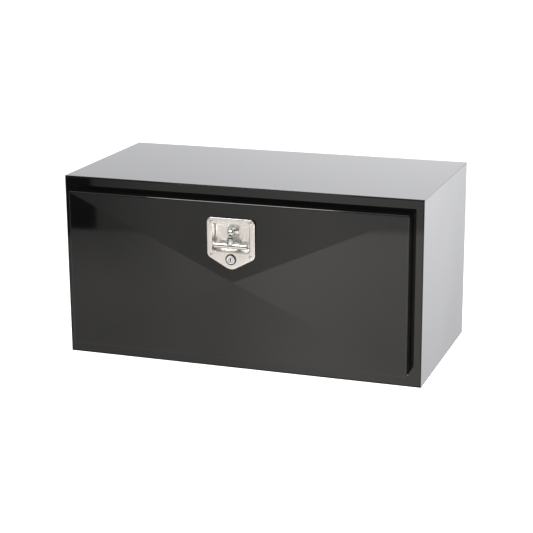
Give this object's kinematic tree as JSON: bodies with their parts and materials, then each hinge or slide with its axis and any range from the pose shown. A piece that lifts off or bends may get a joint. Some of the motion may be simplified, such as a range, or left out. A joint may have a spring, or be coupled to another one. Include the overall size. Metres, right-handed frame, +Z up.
{
  "type": "truck tool box",
  "caption": "Rectangular steel underbody truck tool box with a bottom-hinged drop door, a folding T-handle latch in a recessed dish, a key lock and slotted door stays.",
  "frame": {"origin": "middle of the flat bottom face of the body", "axes": "+X along the box to the right of someone facing the door, -Y out through the door, +Z up"},
  "size_m": [0.9144, 0.5095, 0.4572],
  "materials": {
    "body_paint": "gloss black powder coat",
    "zinc": "bright zinc plate",
    "stainless": "polished stainless steel",
    "chrome": "bright chrome",
    "rubber": "matte black EPDM"
  },
  "bodies": {
    "box": {"body_wrap": "body_paint", "end_panel_left": "body_paint", "end_panel_right": "body_paint", "front_frame": "body_paint", "weatherstrip": "rubber", "floor_rib_left": "body_paint", "floor_rib_middle": "body_paint", "floor_rib_right": "body_paint", "roof_rib_left": "body_paint", "roof_rib_right": "body_paint", "hinge_leaf_body": "body_paint", "hinge_pin": "zinc", "keeper": "zinc", "keeper_rivet_left": "zinc", "keeper_rivet_right": "zinc", "stay_bracket_left": "zinc", "stay_bracket_right": "zinc", "stay_stud_left": "zinc", "stay_stud_right": "zinc"},
    "door": {"door_pan": "body_paint", "hinge_leaf_door": "body_paint", "door_stiffener_left": "body_paint", "door_stiffener_right": "body_paint", "stay_lug_left": "zinc", "stay_lug_right": "zinc", "stay_pivot_left": "zinc", "stay_pivot_right": "zinc", "dish_gasket": "rubber", "latch_dish": "stainless", "dish_rivet_top_left": "stainless", "dish_rivet_top_right": "stainless", "dish_rivet_low_left": "stainless", "dish_rivet_low_right": "stainless", "latch_bushing": "chrome", "bushing_nut": "zinc", "lock_body": "chrome", "lock_ring": "rubber", "lock_nut": "zinc"},
    "stay_left": {"stay_bar_left": "zinc"},
    "stay_right": {"stay_bar_right": "zinc"},
    "latch": {"latch_spindle": "chrome", "handle_pin": "chrome", "lock_disc": "zinc", "latch_spacer": "zinc", "pawl": "zinc", "spindle_nut": "zinc"},
    "handle": {"t_handle": "chrome"},
    "lock": {"lock_plug": "chrome", "lock_cam": "zinc", "lock_cam_nut": "zinc"}
  },
  "joints": [
    {"name": "door_hinge", "type": "hinge", "parent": "box", "child": "door", "pos_m": [0, -0.2328, 0.0316], "axis": [1, 0, 0], "range_deg": [0, 90]},
    {"name": "stay_pivot_left", "type": "hinge", "parent": "door", "child": "stay_left", "pos_m": [-0.3875, -0.2448, 0.28131], "axis": [1, 0, 0], "range_deg": [-45, 0]},
    {"name": "stay_pivot_right", "type": "hinge", "parent": "door", "child": "stay_right", "pos_m": [0.3875, -0.2448, 0.28131], "axis": [1, 0, 0], "range_deg": [-45, 0]},
    {"name": "latch_turn", "type": "hinge", "parent": "door", "child": "latch", "pos_m": [-0.0033, -0.26, 0.355], "axis": [0, 1, 0], "range_deg": [0, 90]},
    {"name": "handle_lift", "type": "hinge", "parent": "latch", "child": "handle", "pos_m": [-0.0033, -0.2711, 0.355], "axis": [-1, 0, 0], "range_deg": [0, 90]},
    {"name": "lock_turn", "type": "hinge", "parent": "door", "child": "lock", "pos_m": [-0.0033, -0.26, 0.289], "axis": [0, 1, 0], "range_deg": [0, 90]}
  ],
  "couplings": [
    {"joint": "stay_pivot_left", "follows": "door_hinge", "ratio": -0.5},
    {"joint": "stay_pivot_right", "follows": "door_hinge", "ratio": -0.5},
    {"joint": "handle_lift", "follows": "latch_turn", "ratio": 1}
  ]
}
